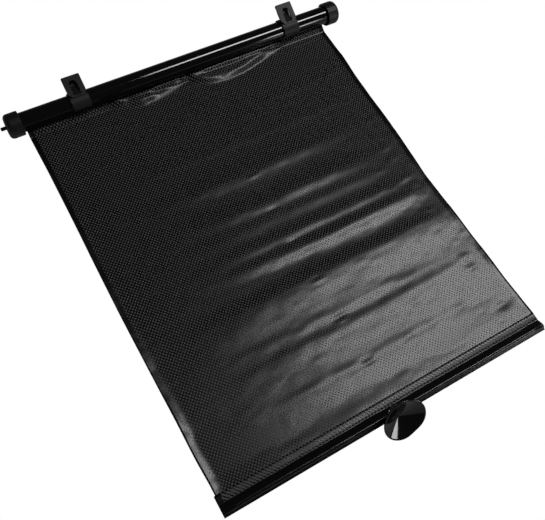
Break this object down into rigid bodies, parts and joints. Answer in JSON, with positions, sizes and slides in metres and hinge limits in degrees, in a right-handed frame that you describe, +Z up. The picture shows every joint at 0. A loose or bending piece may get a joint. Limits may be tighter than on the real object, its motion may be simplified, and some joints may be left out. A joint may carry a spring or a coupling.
{
  "type": "car side window roller sunshade",
  "caption": "Black roller sunshade for a car side window: tubular housing with end caps, window clips, pulled-out perforated film and a suction cup on its hem.",
  "frame": {"origin": "middle of the footprint of the pulled-out shade, on the surface it lies on", "axes": "+Z up from the surface, +Y along the film from the suction cup to the housing tube, +X along the tube from its spindle end to its plain end"},
  "size_m": [0.4234, 0.4992, 0.0367],
  "materials": {
    "tube_black": "gloss",
    "cap_black": "matte",
    "clip_grey": "matte",
    "film_black": "satin film with fine holes",
    "cup_black": "polished soft plastic",
    "steel": "drawn",
    "natural_plastic": "satin"
  },
  "bodies": {
    "housing": {"housing_tube": "tube_black", "end_cap_left": "cap_black", "end_cap_right": "cap_black", "spindle": "cap_black", "spindle_collar": "steel", "ratchet_wheel": "steel", "torsion_spring": "steel", "shade_film": "film_black"},
    "roller": {"roller_tube": "steel", "roller_head": "natural_plastic", "roller_plug": "natural_plastic", "gudgeon_pin": "steel"},
    "upper_pawl": {"pawl_upper": "steel"},
    "lower_pawl": {"pawl_lower": "steel"},
    "hem_bar": {"hem_rod": "steel"},
    "cup": {"suction_cup": "cup_black"},
    "left_clip": {"clip_left": "clip_grey"},
    "right_clip": {"clip_right": "clip_grey"}
  },
  "joints": [
    {"name": "shade_draw", "type": "slide", "parent": "housing", "child": "hem_bar", "axis": [0, 1, 0], "range_m": [0, 0.405], "deforming": ["shade_film"]},
    {"name": "roller_spin", "type": "hinge", "parent": "housing", "child": "roller", "pos_m": [0, 0.22808, 0.0135], "axis": [1, 0, 0], "range_deg": [0, 2970]},
    {"name": "upper_pawl_swing", "type": "hinge", "parent": "roller", "child": "upper_pawl", "pos_m": [-0.195, 0.22808, 0.0202], "axis": [1, 0, 0], "range_deg": [0, 16]},
    {"name": "lower_pawl_swing", "type": "hinge", "parent": "roller", "child": "lower_pawl", "pos_m": [-0.195, 0.22808, 0.0068], "axis": [1, 0, 0], "range_deg": [0, 16]},
    {"name": "cup_swing", "type": "hinge", "parent": "hem_bar", "child": "cup", "pos_m": [0.0027, -0.22302, 0.0035], "axis": [-1, 0, 0], "range_deg": [0, 85]},
    {"name": "left_clip_turn", "type": "hinge", "parent": "housing", "child": "left_clip", "pos_m": [-0.1237, 0.22808, 0.0135], "axis": [1, 0, 0], "range_deg": [-45, 30]},
    {"name": "right_clip_turn", "type": "hinge", "parent": "housing", "child": "right_clip", "pos_m": [0.1429, 0.22808, 0.0135], "axis": [1, 0, 0], "range_deg": [-45, 30]}
  ],
  "couplings": [
    {"joint": "roller_spin", "follows": "shade_draw", "rad_per_m": 127.98}
  ]
}
